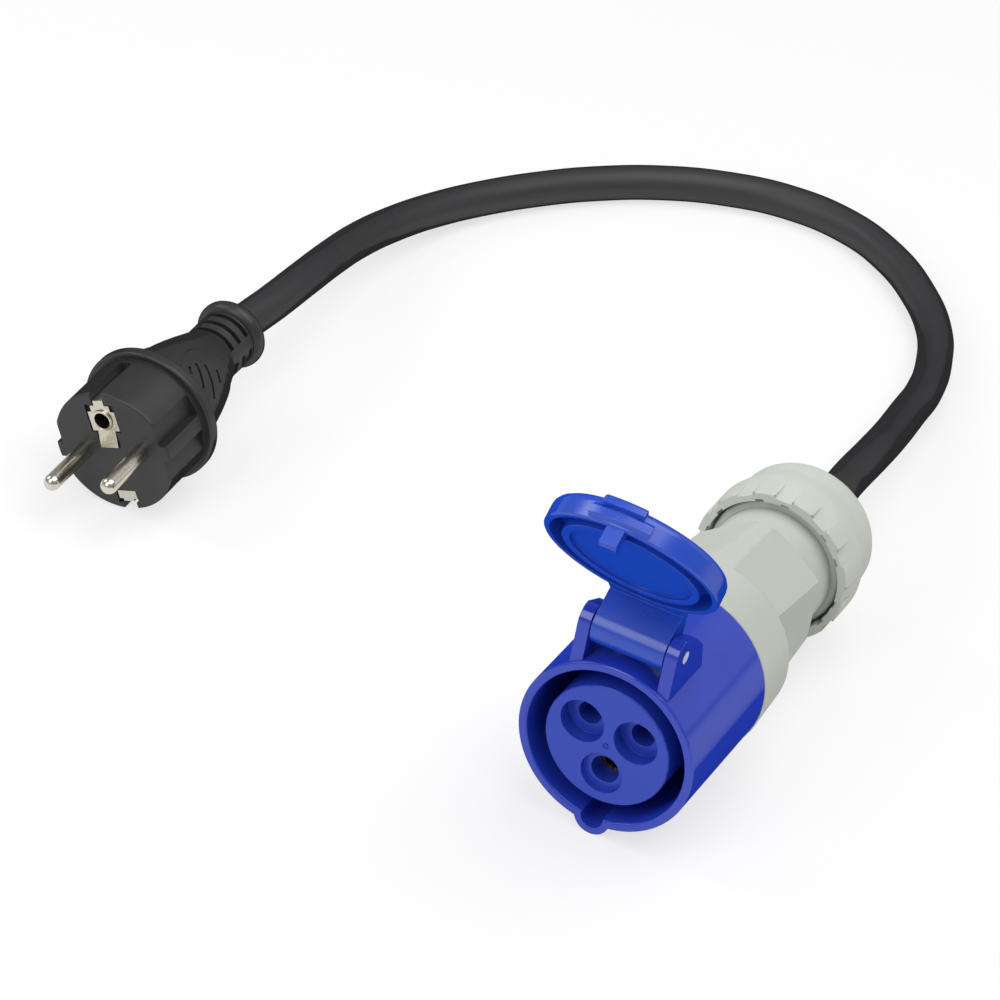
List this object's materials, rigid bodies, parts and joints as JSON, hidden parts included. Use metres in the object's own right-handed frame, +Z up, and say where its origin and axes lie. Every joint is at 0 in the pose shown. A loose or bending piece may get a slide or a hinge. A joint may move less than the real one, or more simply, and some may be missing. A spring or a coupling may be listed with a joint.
{
  "type": "adapter cable",
  "caption": "Short rubber cable from a moulded earthed plug to a round blue pin-and-sleeve coupler with a hinged lid, keyway and gland nut.",
  "frame": {"origin": "on the table under the middle of the coupler's length, midway across it", "axes": "+Y along the coupler's axis from its mouth to its gland nut, +Z up, +X to the right seen from the mouth"},
  "size_m": [0.2188, 0.345, 0.112],
  "materials": {
    "blue_housing": "glossy moulded polyamide",
    "blue_insert": "satin moulded polyamide",
    "blue_lid": "glossy moulded polyamide",
    "grey_shell": "satin moulded polyamide",
    "contact_brass": "turned brass",
    "steel": "bright zinc-plated steel",
    "pin_nickel": "nickel-plated brass",
    "core_brown": "core insulation",
    "core_blue": "core insulation",
    "core_green": "core insulation",
    "gland_plastic": "natural polyamide",
    "seal_rubber": "soft rubber",
    "cable_rubber": "matt rubber sheath",
    "plug_rubber": "satin moulded rubber"
  },
  "bodies": {
    "connector": {"front_housing": "blue_housing", "contact_insert": "blue_insert", "contact_sleeve_live": "contact_brass", "contact_sleeve_neutral": "contact_brass", "contact_sleeve_earth": "contact_brass", "terminal_screws": "steel", "core_live": "core_brown", "core_neutral": "core_blue", "core_earth": "core_green", "hinge_pin": "steel", "lid_spring": "steel", "rear_housing": "grey_shell", "clamp_cage": "gland_plastic", "gland_seal": "seal_rubber", "cable": "cable_rubber", "plug_body": "plug_rubber", "plug_pin_left": "pin_nickel", "plug_pin_right": "pin_nickel", "plug_earth_clip": "pin_nickel", "plug_earth_socket": "pin_nickel"},
    "lid": {"lid": "blue_lid"},
    "washer": {"thrust_washer": "gland_plastic"},
    "nut": {"gland_nut": "grey_shell"}
  },
  "joints": [
    {"name": "lid_hinge", "type": "hinge", "parent": "connector", "child": "lid", "pos_m": [0, -0.0452, 0.0585], "axis": [1, 0, 0], "range_deg": [-37, 143]},
    {"name": "nut_slide", "type": "slide", "parent": "connector", "child": "washer", "axis": [0, 1, 0], "range_m": [0, 0.003]},
    {"name": "nut_turn", "type": "hinge", "parent": "washer", "child": "nut", "pos_m": [0, 0.0678, 0.0275], "axis": [0, 1, 0], "range_deg": [0, 540]}
  ],
  "couplings": [
    {"joint": "nut_slide", "follows": "nut_turn", "m_per_rad": 0.00031831}
  ]
}
